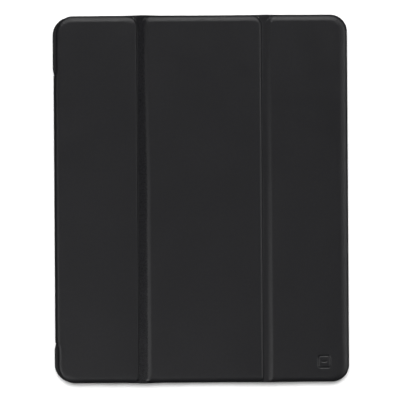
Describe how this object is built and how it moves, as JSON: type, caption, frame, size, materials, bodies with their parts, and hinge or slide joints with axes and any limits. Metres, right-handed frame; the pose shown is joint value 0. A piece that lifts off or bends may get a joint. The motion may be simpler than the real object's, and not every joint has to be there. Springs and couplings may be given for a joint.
{
  "type": "tablet case",
  "caption": "Tri-fold folio case for a large tablet: soft tray with a stylus bay, hinged spine and three padded cover panels that fold into a stand.",
  "frame": {"origin": "centre of the underside of the closed case as it lies on its back, between the corner bumpers and the cover's free edge", "axes": "+X from the spine to the cover's free edge, +Y to the top of the tablet, +Z out of the front of the cover"},
  "size_m": [0.2316, 0.289, 0.014],
  "materials": {
    "leather": "matte fine-grained black synthetic leather",
    "microfibre": "short dark grey microfibre nap",
    "tpu": "satin black flexible polyurethane",
    "hard_plastic": "fine-textured black polycarbonate",
    "board": "plain glass-fibre board",
    "foam": "fine-celled grey foam",
    "magnet": "bright nickel plate",
    "tape": "close-woven polyester tape"
  },
  "bodies": {
    "shell": {"bumper_frame": "tpu", "back_plate": "hard_plastic", "back_skin": "leather", "tray_lining": "microfibre", "camera_ring": "hard_plastic"},
    "power_button": {"power_button": "tpu"},
    "volume_up_button": {"volume_up_button": "tpu"},
    "volume_down_button": {"volume_down_button": "tpu"},
    "spine": {"spine_skin": "leather", "spine_stiffener": "board", "spine_lining": "microfibre"},
    "panel_1": {"panel_1_skin": "leather", "panel_1_foam": "foam", "panel_1_board": "board", "panel_1_lining": "microfibre", "stand_keeper_1": "magnet", "stand_keeper_2": "magnet", "stand_keeper_3": "magnet", "crease_1_tape": "tape"},
    "panel_2": {"panel_2_skin": "leather", "panel_2_foam": "foam", "panel_2_board": "board", "panel_2_lining": "microfibre", "crease_2_tape": "tape"},
    "panel_3": {"panel_3_skin": "leather", "panel_3_foam": "foam", "panel_3_board": "board", "panel_3_lining": "microfibre", "latch_magnet_1": "magnet", "latch_magnet_2": "magnet", "latch_magnet_3": "magnet", "latch_magnet_4": "magnet", "latch_magnet_5": "magnet", "latch_magnet_6": "magnet", "wake_magnet": "magnet"}
  },
  "joints": [
    {"name": "spine_hinge", "type": "hinge", "parent": "shell", "child": "spine", "pos_m": [-0.1146, 0, 0], "axis": [0, -1, 0], "range_deg": [0, 190]},
    {"name": "cover_hinge", "type": "hinge", "parent": "spine", "child": "panel_1", "pos_m": [-0.1146, 0, 0.014], "axis": [0, -1, 0], "range_deg": [0, 175]},
    {"name": "crease_1_fold", "type": "hinge", "parent": "panel_1", "child": "panel_2", "pos_m": [-0.0449, 0, 0.0117], "axis": [0, -1, 0], "range_deg": [-136, 0]},
    {"name": "crease_2_fold", "type": "hinge", "parent": "panel_2", "child": "panel_3", "pos_m": [0.052, 0, 0.0117], "axis": [0, -1, 0], "range_deg": [-134, 0]},
    {"name": "power_press", "type": "slide", "parent": "shell", "child": "power_button", "axis": [0, -1, 0], "range_m": [0, 0.0005], "stiffness_N_per_m": 900},
    {"name": "volume_up_press", "type": "slide", "parent": "shell", "child": "volume_up_button", "axis": [-1, 0, 0], "range_m": [0, 0.0005], "stiffness_N_per_m": 900},
    {"name": "volume_down_press", "type": "slide", "parent": "shell", "child": "volume_down_button", "axis": [-1, 0, 0], "range_m": [0, 0.0005], "stiffness_N_per_m": 900}
  ],
  "couplings": [
    {"joint": "crease_1_fold", "follows": "cover_hinge", "ratio": -0.777},
    {"joint": "crease_2_fold", "follows": "cover_hinge", "ratio": -0.7655}
  ]
}
